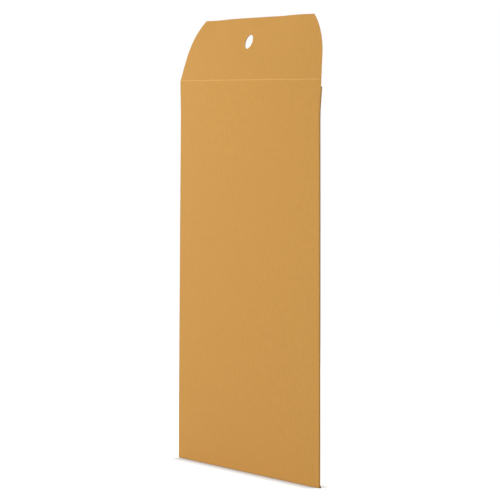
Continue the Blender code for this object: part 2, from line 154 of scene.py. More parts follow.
def sway(x, z):
    """How far the sides of the standing pocket lean out of true, backward being positive."""
    side = x / panel_half
    held = smooth((z - (score_height - HELD_TOP)) / HELD_TOP)
    return -TWIST * side**3 * risen(z) * (1 - held) + SET_BACK * side**2 * held


def on_front(x, z):
    """A point of the front panel."""
    bow = FRONT_BOW * gape(z)
    return Vector((drawn_in(x, bow), front_y - bow * crown(x) + sway(x, z), z))


def on_back(x, z, lift=0.0):
    """A point of the back, lifted off it by some more."""
    y = back_y + lift + BACK_BOW * crown(x) * gape(z) + sway(x, z)
    return Vector((drawn_in(x, FRONT_BOW * gape(z)), y, z))


mouth = on_back(0, score_height).y - on_front(0, score_height).y
print(f"mouth {mouth / MM:.1f} mm open in the middle")

# %% [markdown]
# The flap is creased along the score and springs back, so it leans away from the front. It carries
# the bow of the mouth on, less and less towards its top edge, which curls back a little. Its two
# sides bulge opposite ways in a shallow wave. The middle has none, so that it clears the seam on
# the back when it is shut. A plain bent plane could stand for it, but would look like sheet metal.

# %% Formulas for the flap
SCORE_TILT = 0.55 * MM  # the score is pressed a little out of square, lower on the right
FLAP_DEPTH = 49.4 * MM
FLAP_LEAN = math.radians(11.6)
FLAP_CURL = 0.9 * MM  # the top edge curls back by this much
FLAP_TIP_BOW = 3.0 * MM  # what is left of the bow at the top edge
FLAP_WAVE = 1.9 * MM  # the flap's two sides bulge opposite ways by up to this much
WAVE_START = 0.3  # share of the half width where the wave starts
WAVE_EASE = 0.35  # share of the half width over which it comes in
flap_up = Vector((0, math.sin(FLAP_LEAN), math.cos(FLAP_LEAN)))
flap_inward = Vector((0, math.cos(FLAP_LEAN), -math.sin(FLAP_LEAN)))


def score_at(x):
    """The height of the score."""
    return score_height - SCORE_TILT * x / panel_half


def flap_wave(side, share):
    """The wave, backward being positive: side is -1 to 1 across, share is 0 to 1 up the flap."""
    ease = smooth((abs(side) - WAVE_START) / WAVE_EASE)
    return -FLAP_WAVE * share**2 * math.sin(math.pi * side) * ease


def on_flap(x, reach, lift=0.0):
    """A point of the open flap: reach is up from the score, lift is off its inner face."""
    side = x / panel_half
    share = reach / FLAP_DEPTH
    bow = FRONT_BOW + (FLAP_TIP_BOW - FRONT_BOW) * share
    back = FLAP_CURL * share**2 + SET_BACK * side**2
    wave = flap_wave(side, share)
    foot = Vector((drawn_in(x, bow), front_y - bow * crown(x) + back, score_at(x)))
    waved = Vector((0, wave, -wave * math.tan(FLAP_LEAN)))
    return foot + flap_up * reach + waved + flap_inward * lift


print(f"top edge of the flap {on_flap(0, FLAP_DEPTH).z / MM:.1f} mm up")

# %% [markdown]
# A material in Blender is a net of nodes. It could be wired by hand in the Shader Editor, but a
# script keeps the recipe readable and gives the same net in every run. The first two helpers fill
# an input and add a node. The others add the kinds of node that the recipes below use again and
# again: arithmetic, colour mixes, ramps and noise.

# %% Fill an input, add a node
def feed(tree, socket, value):
    """Fills an input with another node's output or with a plain value."""
    if isinstance(value, bpy.types.NodeSocket):
        tree.links.new(value, socket)
    else:
        socket.default_value = value


def add(tree, kind, inputs=None, **settings):
    """A node with its settings made and its inputs filled."""
    node = tree.nodes.new(kind)
    for name, value in settings.items():
        setattr(node, name, value)
    for name, value in (inputs or {}).items():
        feed(tree, node.inputs[name], value)
    return node


print("helpers", feed.__name__, add.__name__)

# %% Nodes that the recipes use again and again
MIX_MASK, MIX_FIRST, MIX_SECOND, MIX_RESULT = 0, 6, 7, 2  # the colour sockets of a Mix node


def maths(tree, operation, *values):
    """One step of arithmetic on numbers."""
    return add(tree, "ShaderNodeMath", dict(enumerate(values)), operation=operation).outputs[0]


def vector_maths(tree, operation, *values):
    """The same on vectors or colours."""
    return add(tree, "ShaderNodeVectorMath", dict(enumerate(values)), operation=operation).outputs[0]


def weigh(tree, *shares):
    """A weighted sum of values."""
    total = 0.0
    for value, weight in shares:
        total = maths(tree, "MULTIPLY_ADD", value, weight, total)
    return total


def mix(tree, mask, first, second):
    """The first colour where the mask is 0, the second where it is 1."""
    inputs = {MIX_MASK: mask, MIX_FIRST: first, MIX_SECOND: second}
    return add(tree, "ShaderNodeMix", inputs, data_type="RGBA").outputs[MIX_RESULT]


def ramp(tree, value, low, high, ease="LINEAR"):
    """0 up to low, 1 from high on, and a ramp between them."""
    inputs = {"Value": value, "From Min": low, "From Max": high}
    return add(tree, "ShaderNodeMapRange", inputs, interpolation_type=ease).outputs[0]


def noise(tree, place, grains, detail):
    """A noise value, with the number of grains to the metre along each axis."""
    inputs = {"Vector": vector_maths(tree, "MULTIPLY", place, grains), "Scale": 1.0, "Detail": detail}
    return add(tree, "ShaderNodeTexNoise", inputs).outputs[0]


print("helpers", [h.__name__ for h in (maths, vector_maths, weigh, mix, ramp, noise)])

# %% [markdown]
# A node group is a small net with named inputs and outputs that several materials can share, such
# as a recipe for fibres. The nodes could be copied into each material instead, but then a change
# would have to be made in each of them.

# %% Helpers for node groups
def effect(name, inputs, outputs):
    """An empty group: its tree, the outputs of its input node and the inputs of its output node."""
    tree = bpy.data.node_groups.new(name, "ShaderNodeTree")
    for way, sockets in (("INPUT", inputs), ("OUTPUT", outputs)):
        for label, kind in sockets.items():
            tree.interface.new_socket(label, in_out=way, socket_type="NodeSocket" + kind)
    return tree, tree.nodes.new("NodeGroupInput").outputs, tree.nodes.new("NodeGroupOutput").inputs


def use(tree, group, **inputs):
    """Places a group in a material and gives its outputs."""
    return add(tree, "ShaderNodeGroup", inputs, node_tree=group).outputs


print("helpers", effect.__name__, use.__name__)

# %% [markdown]
# Kraft paper is a felt of long wood fibres. They settle in soft clouds, lie mostly one way, along
# the run of the paper machine, and a few stand out darker or paler than the rest. A scanned picture
# could show that, but it would repeat, and blur from near by. Layers of noise do neither, so a group
# makes the fibres from a place on the sheet, and each paper uses it with its own colour.

# %% Single fibres
CURL = 2.2 * MM  # a fibre strays up to this far from a straight line
CURL_GRAINS = 420.0  # bends to the metre
FIBRE_FROM = 0.63  # only the crests of the noise count as fibres, from this height
FIBRE_FULL = 0.76  # and fully from this one


def hairs(tree, place, turn, grains):
    """A mask of thin, slightly curled fibres, turned from the run of the paper."""
    lumps = add(tree, "ShaderNodeTexNoise", {"Vector": place, "Scale": CURL_GRAINS, "Detail": 1.0})
    curled = vector_maths(tree, "MULTIPLY_ADD", lumps.outputs["Color"], (CURL, CURL, CURL), place)
    inputs = {"Vector": curled, "Angle": turn}
    turned = add(tree, "ShaderNodeVectorRotate", inputs, rotation_type="Z_AXIS").outputs[0]
    return ramp(tree, noise(tree, turned, grains, 1.0), FIBRE_FROM, FIBRE_FULL)


print(f"single fibres stray by up to {CURL / MM:.1f} mm")

# %% Node group for kraft fibre
CLOUDS = (260, 170, 260)  # grains to the metre across the sheet, along its run and through it
STREAKS = (1300, 190, 1300)
TOOTH = (6000, 4200, 6000)
DARK_HAIRS = (7600, 520, 7600)
PALE_HAIRS = (6800, 460, 6800)
DARK_TURN = 0.6  # radians from the run of the paper
PALE_TURN = -0.45
DARK_FIBRE = (0.30, 0.13, 0.035, 1)
PALE_FIBRE = (0.84, 0.58, 0.27, 1)
DARK_SHARE = 0.34
PALE_SHARE = 0.28
ROUGH_LEAST = 0.62
ROUGH_SWING = 0.20


def paper_fibre():
    """A group that turns a colour into paper of that colour."""
    tree, given, result = effect(
        "paper_fibre",
        {"Place": "Vector", "Colour": "Color", "Strength": "Float"},
        {"Colour": "Color", "Roughness": "Float", "Height": "Float"},
    )
    place = given["Place"]
    cloud = noise(tree, place, CLOUDS, 4.0)
    streak = noise(tree, place, STREAKS, 3.0)
    tooth = noise(tree, place, TOOTH, 2.0)
    dark = hairs(tree, place, DARK_TURN, DARK_HAIRS)
    pale = hairs(tree, place, PALE_TURN, PALE_HAIRS)
    shade = weigh(tree, (cloud, 0.55), (streak, 0.25), (tooth, 0.20))
    swing = maths(tree, "MULTIPLY", maths(tree, "SUBTRACT", shade, 0.5), given["Strength"])
    tone = vector_maths(tree, "MULTIPLY", given["Colour"], maths(tree, "ADD", swing, 1.0))
    tone = mix(tree, maths(tree, "MULTIPLY", dark, DARK_SHARE), tone, DARK_FIBRE)
    tone = mix(tree, maths(tree, "MULTIPLY", pale, PALE_SHARE), tone, PALE_FIBRE)
    height = weigh(tree, (streak, 0.30), (tooth, 0.45), (pale, 0.15), (dark, -0.10))
    feed(tree, result["Colour"], tone)
    feed(tree, result["Roughness"], maths(tree, "MULTIPLY_ADD", shade, ROUGH_SWING, ROUGH_LEAST))
    feed(tree, result["Height"], height)
    return tree


fibre = paper_fibre()
print("group", fibre.name, "with", len(fibre.nodes), "nodes")

# %% [markdown]
# Where paper is pressed, its fibres break and the line turns paler; along the score this paler tone
# also stands in for a painted highlight on its ridge. The round of each side fold gets painted shade,
# darker because it turns away from the light, and glue darkens the paper that it soaks into. None of
# these marks is even. They could be painted on a picture, but wouldn't follow a change of size. So a
# second group turns the distance from a line into a mask and breaks it up with noise. The kraft uses
# it three times.

# %% Node group for line marks
CREASE_FADE = 0.6  # share of the half width over which a mark fades
# noise breaks up every line mark: the painted shade and highlight as well as the glue stain
MARK_GRAINS = (420, 420, 420)
MARK_LEAST = 0.65
MARK_SWING = 0.7


def pressed_crease():
    """A group that turns a distance from a line into an uneven mask."""
    sockets = {"Place": "Vector", "Across": "Float", "Width": "Float"}
    tree, given, result = effect("pressed_crease", sockets, {"Mask": "Float"})
    away = maths(tree, "ABSOLUTE", given["Across"])
    near = maths(tree, "SUBTRACT", 1.0, maths(tree, "DIVIDE", away, given["Width"]))
    line = ramp(tree, near, 0.0, CREASE_FADE, "SMOOTHSTEP")
    patchy = noise(tree, given["Place"], MARK_GRAINS, 3.0)
    uneven = maths(tree, "MULTIPLY_ADD", patchy, MARK_SWING, MARK_LEAST)
    feed(tree, result["Mask"], maths(tree, "MULTIPLY", line, uneven))
    return tree


line_mark = pressed_crease()
print("group", line_mark.name, "with", len(line_mark.nodes), "nodes")

# %% Marks on the kraft
SCORE_HALF = 0.45 * MM  # half the width of each mark
FOLD_HALF = 2.4 * MM
SEAM_GLUE_HALF = 6.5 * MM
SEAM_OFFSET = 26.0 * MM  # the back seam lies this far to the left of the middle
# the score is paler from crushed fibres, and this paler tone also stands in for a painted highlight
SCORE_PALE_AND_HIGHLIGHT = 1.0  # how strongly each mark shows
# painted shade on the round of each side fold
FOLD_SHADE = 0.36
GLUE_STAIN = 0.09
# the score's paler tone: crushed fibres plus a painted highlight along its ridge
KRAFT_PALE_AND_HIGHLIGHT = (0.755, 0.428, 0.127, 1)
# a darker tone: painted shade on the side folds, and the real glue stain along the seam
KRAFT_SHADE_AND_STAIN = (0.36, 0.20, 0.065, 1)
seam_on_blank = 2 * panel_half + fold_length - SEAM_OFFSET


def fold_marks(tree, place, tone):
    """Over the paper's tone: the paler score with a painted highlight, painted shade on the side folds
    and the seam's glue stain.
    """
    blank = add(tree, "ShaderNodeSeparateXYZ", {0: place}).outputs
    level = maths(tree, "MULTIPLY_ADD", blank["X"], SCORE_TILT / panel_half, blank["Y"])
    from_middle = maths(tree, "ABSOLUTE", blank["X"])
    from_score = maths(tree, "SUBTRACT", level, score_height)
    from_side = maths(tree, "SUBTRACT", from_middle, panel_half + fold_length / 2)
    from_seam = maths(tree, "ADD", blank["X"], seam_on_blank)
    # the score is paler with a painted highlight, the side folds get painted shade, the seam a glue
    # stain
    marks = (
        (from_score, SCORE_HALF, SCORE_PALE_AND_HIGHLIGHT, KRAFT_PALE_AND_HIGHLIGHT),
        (from_side, FOLD_HALF, FOLD_SHADE, KRAFT_SHADE_AND_STAIN),
        (from_seam, SEAM_GLUE_HALF, GLUE_STAIN, KRAFT_SHADE_AND_STAIN),
    )
    for across, half, mark_strength, colour in marks:
        mask = use(tree, line_mark, Place=place, Across=across, Width=half)["Mask"]
        tone = mix(tree, maths(tree, "MULTIPLY", mask, mark_strength), tone, colour)
    return tone


print(f"on the blank the seam lies {seam_on_blank / MM:.1f} mm left of the middle")

# %% [markdown]
# Kraft is unbleached, so it has the brown of the wood. Its pattern could follow the place in space,
# but then the fibres would break off at every fold and slide when the flap turns. So each sheet
# carries its place on the flat, unfolded blank as an attribute named blank, and the pattern reads
# that. The cut edges and the patches are paper in other tones, and the rim of the hole is painted
# shade.

# %% Kraft papers
KRAFT = (0.633, 0.324, 0.074, 1)
CUT_EDGE = (0.64, 0.37, 0.13, 1)
# painted shade: the rim of the hole is coloured dark because its wall lies in shade
HOLE_RIM_SHADE = (0.15, 0.105, 0.055, 1)
PATCH_PAPER = (0.50, 0.245, 0.058, 1)
PAPER_GLOSS = 0.12
PAPER_RELIEF = 0.03 * MM


def surface(name):
    """A new material, its tree and its shader."""
    made = bpy.data.materials.new(name)
    made.use_nodes = True
    return made, made.node_tree, made.node_tree.nodes["Principled BSDF"]


def dress(tree, shader, tone, rough, height, depth, strength):
    """Feeds the shader its colour, its roughness and fine relief from a height."""
    relief = add(tree, "ShaderNodeBump", {"Height": height, "Distance": depth, "Strength": strength})
    feed(tree, shader.inputs["Base Color"], tone)
    feed(tree, shader.inputs["Roughness"], rough)
    feed(tree, shader.inputs["Normal"], relief.outputs[0])


def paper(name, colour, strength, marked=False):
    """A paper of one colour; strength is how much its fibres show."""
    made, tree, shader = surface(name)
    place = add(tree, "ShaderNodeAttribute", attribute_name="blank").outputs["Vector"]
    fibres = use(tree, fibre, Place=place, Colour=colour, Strength=strength)
    tone = fibres["Colour"]
    if marked:
        tone = fold_marks(tree, place, tone)
    shader.inputs["Specular IOR Level"].default_value = PAPER_GLOSS
    dress(tree, shader, tone, fibres["Roughness"], fibres["Height"], PAPER_RELIEF, 0.7)
    return made


kraft = paper("kraft", KRAFT, 0.2, marked=True)
cut_edge = paper("kraft_cut_edge", CUT_EDGE, 0.5)
# the rim of the hole, in painted shade
hole_rim_shade = paper("kraft_punched_edge", HOLE_RIM_SHADE, 0.5)
patch_paper = paper("patch_paper", PATCH_PAPER, 0.2)
print("papers", kraft.name, cut_edge.name, hole_rim_shade.name, patch_paper.name)

# %% [markdown]
# The gum along the flap is a dry glossy film, brushed on in a band, and the glue in the seams is a
# duller one. Both could be a flat colour, but that reads as plastic. Brush strokes across the sheet
# change the roughness and the relief, and a slow cloud changes the tone.

# %% Films
GUM = (0.53, 0.262, 0.052, 1)
GUM_CLOUD = (0.46, 0.215, 0.04, 1)
GLUE = (0.66, 0.48, 0.24, 1)
GLUE_CLOUD = (0.56, 0.36, 0.14, 1)
BRUSH_GRAINS = (45, 900, 900)  # few across the envelope, so the strokes are long that way
CLOUD_GRAINS = (160, 160, 160)
CLOUD_SHARE = 0.7
BRUSH_SWING = 0.25
FILM_RELIEF = 0.02 * MM


def film(name, colour, cloud, dull):
    """A dry film on paper; dull is its least roughness."""
    made, tree, shader = surface(name)
    place = add(tree, "ShaderNodeTexCoord").outputs["Object"]
    brushed = noise(tree, place, BRUSH_GRAINS, 3.0)
    cloudy = maths(tree, "MULTIPLY", noise(tree, place, CLOUD_GRAINS, 3.0), CLOUD_SHARE)
    rough = maths(tree, "MULTIPLY_ADD", brushed, BRUSH_SWING, dull)
    dress(tree, shader, mix(tree, cloudy, colour, cloud), rough, brushed, FILM_RELIEF, 0.6)
    return made


gum = film("dry_gum", GUM, GUM_CLOUD, 0.24)
glue = film("dry_glue", GLUE, GLUE_CLOUD, 0.42)
print("films", gum.name, glue.name)

# %% [markdown]
# The clasp is stamped from thin tinned steel. Tin is bright, but it dulls in soft patches and keeps
# faint lines from the rollers. A metal with one roughness could do, but would look like chrome, so
# both change the roughness, and the patches also the tone. The glue lines and the base of the clasp
# are right as CAD solids, so they only get a new finish.

# %% Steel and the CAD pieces that stay
TIN = (0.78, 0.76, 0.70, 1)
TIN_DULL = (0.60, 0.57, 0.50, 1)
ROLLED_GRAINS = (900, 500, 9000)
BLOOM_GRAINS = (700, 700, 700)
BLOOM_SHARE = 0.6
TIN_ROUGH = 0.12
STEEL_RELIEF = 0.01 * MM


def rolled_steel():
    """Tinned steel with faint rolling lines."""
    made, tree, shader = surface("tinned_steel")
    place = add(tree, "ShaderNodeTexCoord").outputs["Object"]
    lines = noise(tree, place, ROLLED_GRAINS, 3.0)
    bloom = noise(tree, place, BLOOM_GRAINS, 3.0)
    tone = mix(tree, maths(tree, "MULTIPLY", bloom, BLOOM_SHARE), TIN, TIN_DULL)
    dull = maths(tree, "MULTIPLY_ADD", bloom, 0.15, TIN_ROUGH)
    rough = maths(tree, "MULTIPLY_ADD", lines, 0.25, dull)
    shader.inputs["Metallic"].default_value = 1.0
    dress(tree, shader, tone, rough, lines, STEEL_RELIEF, 0.5)
    return made


steel = rolled_steel()
for node, finish in (("seam_glue", glue), ("bottom_glue", glue), ("clasp_base", steel)):
    for slot in frame["nodes"][node].material_slots:
        slot.material = finish
    print("CAD node", node, "stays, with the finish", finish.name)

# %% [markdown]
# Every sheet starts as what it is before folding: flat paper. create_grid draws a net of squares,
# and its lines are moved to given stations, close where the paper will bend and wide where it stays
# flat. One could fold a mesh by hand in Edit Mode, but a formula for where each point of the flat
# blank goes is exact and easy to change. The flat place is kept for the fibres.

# %% Helpers for nets
def spread(start, stop, step):
    """Evenly spaced stations from start to stop, no further apart than step."""
    count = max(1, math.ceil(abs(stop - start) / step - 1e-6))
    return [start + (stop - start) * i / count for i in range(count + 1)]


def stations(stops, steps):
    """Stations through all the stops, with a step of its own for each stretch between two."""
    lines = [stops[0]]
    for start, stop, step in zip(stops, stops[1:], steps):
        lines += spread(start, stop, step)[1:]
    return lines


def flat_grid(columns, rows):
    """A flat net with its lines at the given columns and rows."""
    net = bmesh.new()
    bmesh.ops.create_grid(net, x_segments=len(columns) - 1, y_segments=len(rows) - 1, size=1)
    for corner in net.verts:
        column = round((corner.co.x + 1) / 2 * (len(columns) - 1))
        row = round((corner.co.y + 1) / 2 * (len(rows) - 1))
        corner.co = (columns[column], rows[row], 0)
    return net


def fold(net, shape):
    """Stores each corner's place on the flat blank, then moves it where the shape puts it."""
    blank = net.verts.layers.float_vector.new("blank")
    for corner in net.verts:
        corner[blank] = corner.co.copy()
        corner.co = shape(corner.co.x, corner.co.y)
    net.normal_update()


print("helpers", [h.__name__ for h in (spread, stations, flat_grid, fold)])

# %% [markdown]
# Paper has a thickness, if a small one, and its cut edge shows as a paler line. A Solidify modifier
# could add it later. The operator adds it at once, so the script can find the faces of the cut rim
# and give them a finish of their own. Edges that turn more than a set angle stay crisp.

# %% Helpers for thickness
SHARP = math.radians(40)
RIM_SLOT = 1  # the second material of a sheet is the one for its cut rim


def placed(name, data):
    """A new object in the scene."""
    made = bpy.data.objects.new(name, data)
    bpy.context.scene.collection.objects.link(made)
    return made


def finished(net, name, finishes):
    """The net as a new object with smooth faces and crisp rims."""
    mesh = bpy.data.meshes.new(name)
    net.to_mesh(mesh)
    net.free()
    mesh.shade_smooth()
    mesh.set_sharp_from_angle(angle=SHARP)
    for finish in finishes:
        mesh.materials.append(finish)
    print(f"{name}: {len(mesh.polygons)} faces")
    return placed(name, mesh)


def thick_sheet(net, name, finish, thickness=PAPER):
    """Gives the folded net its thickness, half to each side, and its rim the cut-edge finish."""
    for corner in net.verts:
        corner.co += corner.normal * thickness / 2
    first_side = set(net.verts)
    bmesh.ops.solidify(net, geom=net.faces[:], thickness=thickness)
    rim = [face for face in net.faces if len({corner in first_side for corner in face.verts}) == 2]
    for face in rim:
        face.material_index = RIM_SLOT
    print(f"{name}: {len(rim)} faces on the cut rim")
    return finished(net, name, [finish, cut_edge])


print(f"edges sharper than {math.degrees(SHARP):.0f} degrees stay crisp")

# %% [markdown]
# The die cuts the flap with straight slanting sides that run into an arc on each shoulder, and the
# arc meets the straight top edge at a blunt corner. A curve object could draw that. A formula for
# half the width at any height is shorter, and the gum band can use it too.

# %% Half the width of the flap
FLAP_SIDE_ANGLE = math.radians(13.8)  # how far the straight sides slant in
FLAP_SIDE_STRAIGHT = 17.5 * MM  # they are straight up to this height above the score
FLAP_CORNER_ANGLE = math.radians(53)  # how far the arc has turned in at the top edge
side_slope = math.tan(FLAP_SIDE_ANGLE)
arc_rise = math.sin(FLAP_CORNER_ANGLE) - math.sin(FLAP_SIDE_ANGLE)
arc_radius = (FLAP_DEPTH - FLAP_SIDE_STRAIGHT) / arc_rise


def flap_half(reach):
    """Half the flap's width at a height above the score."""
    if reach <= FLAP_SIDE_STRAIGHT:
        return panel_half - side_slope * max(0.0, reach)
    turn = math.asin(math.sin(FLAP_SIDE_ANGLE) + (reach - FLAP_SIDE_STRAIGHT) / arc_radius)
    drawn = arc_radius * (math.cos(FLAP_SIDE_ANGLE) - math.cos(turn))
    return panel_half - side_slope * FLAP_SIDE_STRAIGHT - drawn


print(f"flap {2 * flap_half(FLAP_DEPTH) / MM:.1f} mm wide at its top edge")

# %% [markdown]
# A round hole in the flap goes over the clasp. A boolean with a cylinder could cut it, but leaves
# thin, uneven faces round the cut. Here the faces near the hole are deleted while the net is still
# flat, and bridge_loops joins the gap to a true circle. The rim of the hole gets painted shade: it is
# coloured darker than the other cut edges, because its wall lies in shade. Its place follows from the
# gum and the patch.

# %% Helpers for the hole
HOLE_RADIUS = 5.5 * MM
HOLE_SIDES = 64
HOLE_SLOT = 2  # the third material of a punched sheet is the one for the rim of its hole
GUM_MARGIN = 1.6 * MM  # from the top edge of the flap down to the gum
GUM_HEIGHT = 7.5 * MM
GUM_TO_PATCH = 0.6 * MM
PATCH_HEIGHT = 19.0 * MM
gum_top = FLAP_DEPTH - GUM_MARGIN
gum_foot = gum_top - GUM_HEIGHT
hole_reach = gum_foot - GUM_TO_PATCH - PATCH_HEIGHT / 2


def punch(net, centre, clear):
    """Opens the net round the centre, wider by a clear margin, and bridges it to a true circle."""
    gap = HOLE_RADIUS + clear
    near = {f for f in net.faces if any((v.co - centre).length < gap for v in f.verts)}
    inner = [edge for edge in net.edges if len(edge.link_faces) == 2]
    rim = [edge for edge in inner if len(near.intersection(edge.link_faces)) == 1]
    bmesh.ops.delete(net, geom=list(near), context="FACES")
    place = Matrix.Translation(centre)
    circle = bmesh.ops.create_circle(net, segments=HOLE_SIDES, radius=HOLE_RADIUS, matrix=place)
    round_edges = {edge for corner in circle["verts"] for edge in corner.link_edges}
    bmesh.ops.bridge_loops(net, edges=rim + list(round_edges))
    bmesh.ops.recalc_face_normals(net, faces=net.faces)
    if net.faces[:][0].normal.z < 0:
        bmesh.ops.reverse_faces(net, faces=net.faces)


def shade_hole_rim(piece):
    """Gives the rim of the hole its painted shade, a darker finish of its own."""
    piece.data.materials.append(hole_rim_shade)
    middle = on_flap(0, hole_reach)
    cut = [face for face in piece.data.polygons if face.material_index == RIM_SLOT]
    rim = [face for face in cut if (face.center - middle).length < HOLE_RADIUS + MM]
    for face in rim:
        face.material_index = HOLE_SLOT
    print(f"{piece.name}: {len(rim)} faces round the hole")


print(f"hole {2 * HOLE_RADIUS / MM:.0f} mm across, {hole_reach / MM:.1f} mm above the score")

# %% [markdown]
# On the real envelope the address face and the flap are one piece of paper with a pressed score
# between them, so they are one sheet here too. It could be two pieces that meet at the score, but
# they would part when the flap turns.
# Its rows are closest at the score, which stands out as a fine ridge, and close over the bend.

# %% Shape of the front sheet
SCORE_RIDGE = 0.12 * MM
SCORE_BAND = 1.2 * MM  # rows are closest within this distance of the score
BEND_BELOW = 6.0 * MM  # rows are close from this far below the score
BEND_ABOVE = 12.0 * MM  # to this far above it
BEND_STEP = 0.75 * MM
FINE = 2.0 * MM
COARSE = 5.0 * MM
BOTTOM_RADIUS = 0.5 * MM  # of the two round edges of the bottom fold
FOOT = BOTTOM_RADIUS + PAPER / 2  # the front starts where the bottom fold ends
bend_low = score_height - BEND_BELOW
band_low = score_height - SCORE_BAND
band_high = score_height + SCORE_BAND
bend_high = score_height + BEND_ABOVE


def face_shape(x, height):
    """Where a point of the flat front sheet goes: on the front, or on the flap above the score."""
    reach = height - score_at(x)
    if reach <= 0:
        place = on_front(x, height)
    else:
        place = on_flap(x, reach)
    ridge = max(0.0, 1 - abs(reach) / SCORE_HALF)
    return place - Vector((0, SCORE_RIDGE * smooth(ridge), 0))


near_hole = HOLE_RADIUS + 3 * FINE  # the columns are fine this far from the middle
columns = stations((-panel_half, -near_hole, near_hole, panel_half), (COARSE, FINE, COARSE))
rows = stations(
    (FOOT, bend_low, band_low, band_high, bend_high, score_height + FLAP_DEPTH),
    (COARSE, BEND_STEP, SCORE_HALF / 2, BEND_STEP, FINE),
)
print("front sheet:", len(columns), "columns and", len(rows), "rows")

# %% Fold the front sheet
SHEET_CLEAR = 1.0 * MM  # the net is opened this much wider than the hole
net = flat_grid(columns, rows)
for corner in net.verts:
    corner.co.x *= flap_half(corner.co.y - score_height) / panel_half
punch(net, Vector((0, score_height + hole_reach, 0)), SHEET_CLEAR)
fold(net, face_shape)
face_sheet = thick_sheet(net, "face_sheet", kraft)
shade_hole_rim(face_sheet)
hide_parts("front_panel", "flap_score", "seal_flap")
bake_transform(face_sheet)

# %% [markdown]
# The two side panels fold round to the back and lap over each other in a glued seam, which lies off
# the middle so that it clears the clasp. The outer panel steps up onto the inner one. Each could be
# a flat plate with a bent strip for its fold, but the join would show. Instead the blank's width is
# the ruler: a point past the front's edge goes round the fold and then back across the pocket.

# %% Shape of the side panels
THROAT = 6.0 * MM  # the back ends this far below the score at the sides
THROAT_DIP = 7.0 * MM  # and dips by this much more in the middle
BACK_FOOT = 2.0 * MM  # the height of its lower edge
FOLD_FOOT = 0.6 * MM  # and of the lower end of the side folds
FOLD_COLUMNS = 10


def wrap(past_edge):
    """The distance past the front's edge as (x, y) round the fold of the flat envelope."""
    if past_edge < fold_length:
        turn = past_edge / fold_radius
        return panel_half + fold_radius * math.sin(turn), back_y - fold_radius * (1 + math.cos(turn))
    return panel_half - (past_edge - fold_length), back_y


def back_shape(side, lift=lambda x: 0.0):
    """The shape of one side panel: side is -1 or 1, lift says how far it stands off at an x."""
    def shape(across, height):
        x, y = wrap(abs(across) - panel_half)
        x *= side
        share = height / (score_height - THROAT)
        foot = FOLD_FOOT + (BACK_FOOT - FOLD_FOOT) * smooth((y - front_y) / (back_y - front_y))
        z = foot + share * (score_height - THROAT - THROAT_DIP * crown(x) - foot)
        return on_back(x, z, lift(x)) + Vector((0, y - back_y, 0))

    return shape


def back_columns(side, seam_edge, extra):
    """Stations across the blank for one side panel, fine round the fold."""
    flat_start = panel_half + fold_length
    flat_end = flat_start + panel_half - side * seam_edge
    lines = stations((panel_half, flat_start, flat_end), (fold_length / FOLD_COLUMNS, COARSE))
    lines += [flat_start + panel_half - side * x for x in extra]
    return sorted(side * line for line in set(lines))


back_rows = spread(0, score_height - THROAT, COARSE)
print(f"back panels: {len(back_rows)} rows, {fold_length / MM:.2f} mm round the fold")

# %% The left panel laps over the seam
SEAM_LAP = 16.0 * MM
SEAM_STEP = 12.0 * MM  # the outer panel steps up over this width
SEAM_STEP_CLEAR = 1.0 * MM  # and has done so this far before the lap
SEAM_LIFT = 0.46 * MM  # it lies this far above the inner one
step_end = -SEAM_OFFSET - SEAM_LAP / 2 - SEAM_STEP_CLEAR
step_start = step_end - SEAM_STEP
step_lines = spread(step_start, step_end, SEAM_STEP / 8)
net = flat_grid(back_columns(-1, -SEAM_OFFSET + SEAM_LAP / 2, step_lines), back_rows)
fold(net, back_shape(-1, lambda x: SEAM_LIFT * smooth((x - step_start) / SEAM_STEP)))
left_back = thick_sheet(net, "left_back_sheet", kraft)
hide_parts("left_back_panel")

# %% [markdown]
# The right panel is the inner one at the seam. The clasp reaches out through a slit near its top.
# A boolean could cut the slit, but the net can have its lines just there: then the faces between
# them are deleted while the sheet is flat, and the edges of the cut are straight.

# %% Cut the slit and fold the right panel
METAL = 0.3 * MM
PRONG_WIDTH = 5.0 * MM
SLIT_CLEARANCE = 0.35 * MM
left_root = Vector(joints["left_prong_bend"]["pos_m"])
right_root = Vector(joints["right_prong_bend"]["pos_m"])
slit_half_x = (right_root.x - left_root.x + METAL) / 2 + SLIT_CLEARANCE
slit_half_z = PRONG_WIDTH / 2 + SLIT_CLEARANCE
clasp_z = (left_root.z + right_root.z) / 2
back_top = score_height - THROAT - THROAT_DIP
slit_ends = [clasp_z - slit_half_z, clasp_z + slit_half_z]
slit_rows = [(z - BACK_FOOT) / (back_top - BACK_FOOT) * (score_height - THROAT) for z in slit_ends]
slit_columns = back_columns(1, -SEAM_OFFSET - SEAM_LAP / 2, (-slit_half_x, slit_half_x))
net = flat_grid(slit_columns, sorted(set(back_rows + slit_rows)))
middle_of_blank = 2 * panel_half + fold_length
in_slit = []
for face in net.faces:
    centre = face.calc_center_median()
    if abs(centre.x - middle_of_blank) < slit_half_x and slit_rows[0] < centre.y < slit_rows[1]:
        in_slit.append(face)
bmesh.ops.delete(net, geom=in_slit, context="FACES")
fold(net, back_shape(1))
right_back = thick_sheet(net, "right_back_sheet", kraft)
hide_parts("right_back_panel")
for sheet in (left_back, right_back):
    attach(sheet, "pocket")
print(f"slit {2 * slit_half_x / MM:.2f} x {2 * slit_half_z / MM:.2f} mm, {len(in_slit)} faces cut out")

# %% [markdown]
# The bottom of the front panel folds under and up over the back, where glue holds it. Its sides
# taper and its top corners are round. The envelope stands on the fold, so that is flat underneath
# with two round edges. It could be a bevelled strip, but following the blank round both edges keeps
# one sheet with one thickness and lets the fibres run on.

